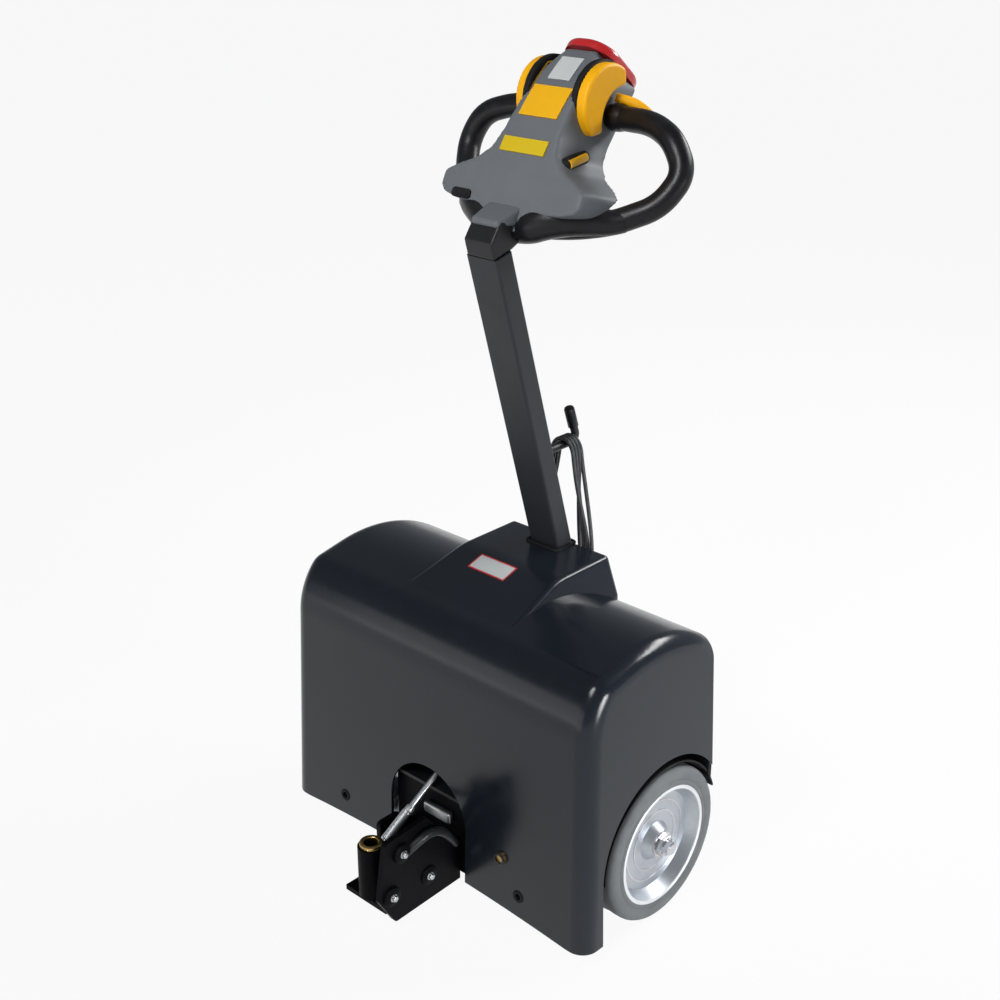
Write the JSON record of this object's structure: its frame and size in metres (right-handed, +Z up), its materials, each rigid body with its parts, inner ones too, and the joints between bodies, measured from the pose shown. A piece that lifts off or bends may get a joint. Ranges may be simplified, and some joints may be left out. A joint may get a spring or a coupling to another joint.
{
  "type": "pedestrian electric tow tractor",
  "caption": "Walk-behind electric tug: moulded hood over the drive wheels, swivel casters, front pin hitch and a leaning tiller with looped handles.",
  "frame": {"origin": "on the floor under the middle of the machine's own box, without the lead", "axes": "+X to the machine's right, -Y towards the hitch, +Z up"},
  "size_m": [0.62, 0.5346, 1.1591],
  "materials": {
    "hood_black": "moulded semi-gloss black",
    "frame_black": "satin black paint",
    "arm_charcoal": "satin charcoal powder coat",
    "head_grey": "moulded matte grey",
    "grip_black": "soft matte",
    "signal_yellow": "moulded gloss",
    "signal_red": "moulded gloss",
    "plate_pale": "satin",
    "tyre_grey": "non-marking grey rubber",
    "rim_silver": "cast, machined face",
    "bright_steel": "bright",
    "brass": "worn bright",
    "cast_grey": "cast housing",
    "battery_grey": "matte case",
    "lead_black": "smooth sheath"
  },
  "bodies": {
    "chassis": {"base_plate": "frame_black", "battery_pack": "battery_grey", "belly_button": "signal_red", "cable_gland": "lead_black", "cable_hook": "frame_black", "caster_mount_left": "bright_steel", "caster_mount_right": "bright_steel", "charge_lead": "lead_black", "charge_lead_hank": "lead_black", "charge_lead_tail": "lead_black", "charge_plug": "lead_black", "drive_axle_housing": "cast_grey", "drive_motor": "frame_black", "front_fitting": "brass", "front_rail": "frame_black", "handle_loop_left": "grip_black", "handle_loop_right": "grip_black", "head_panel": "signal_yellow", "head_plate": "plate_pale", "head_strip": "signal_yellow", "hitch_cheek_left": "frame_black", "hitch_cheek_right": "frame_black", "hitch_collar": "brass", "hitch_jaw_plate": "frame_black", "hitch_mount_plate": "frame_black", "hitch_pin_tube": "frame_black", "hitch_release_rod": "bright_steel", "hitch_rod_bracket": "frame_black", "hood": "hood_black", "rear_panel": "frame_black", "side_button": "signal_yellow", "throttle_left": "signal_yellow", "throttle_right": "signal_yellow", "tiller_arm": "arm_charcoal", "tiller_head": "head_grey", "tiller_knuckle": "arm_charcoal", "tiller_post": "frame_black"},
    "drive_wheel_right": {"tyre_right": "tyre_grey", "rim_right": "rim_silver", "axle_shaft_right": "bright_steel"},
    "caster_swivel_right": {"caster_fork_right": "bright_steel"},
    "caster_wheel_right": {"caster_tyre_right": "tyre_grey", "caster_hub_right": "rim_silver"},
    "drive_wheel_left": {"tyre_left": "tyre_grey", "rim_left": "rim_silver", "axle_shaft_left": "bright_steel"},
    "caster_swivel_left": {"caster_fork_left": "bright_steel"},
    "caster_wheel_left": {"caster_tyre_left": "tyre_grey", "caster_hub_left": "rim_silver"}
  },
  "joints": [
    {"name": "drive_wheel_right_spin", "type": "hinge", "parent": "chassis", "child": "drive_wheel_right", "pos_m": [0, 0.04436, 0.115], "axis": [1, 0, 0], "continuous": true},
    {"name": "caster_right_swivel", "type": "hinge", "parent": "chassis", "child": "caster_swivel_right", "pos_m": [0.13, -0.04364, 0.1], "axis": [0, 0, 1], "continuous": true},
    {"name": "caster_wheel_right_spin", "type": "hinge", "parent": "caster_swivel_right", "child": "caster_wheel_right", "pos_m": [0.13, -0.07164, 0.04], "axis": [1, 0, 0], "continuous": true},
    {"name": "drive_wheel_left_spin", "type": "hinge", "parent": "chassis", "child": "drive_wheel_left", "pos_m": [0, 0.04436, 0.115], "axis": [1, 0, 0], "continuous": true},
    {"name": "caster_left_swivel", "type": "hinge", "parent": "chassis", "child": "caster_swivel_left", "pos_m": [-0.13, -0.04364, 0.1], "axis": [0, 0, 1], "continuous": true},
    {"name": "caster_wheel_left_spin", "type": "hinge", "parent": "caster_swivel_left", "child": "caster_wheel_left", "pos_m": [-0.13, -0.07164, 0.04], "axis": [1, 0, 0], "continuous": true}
  ]
}
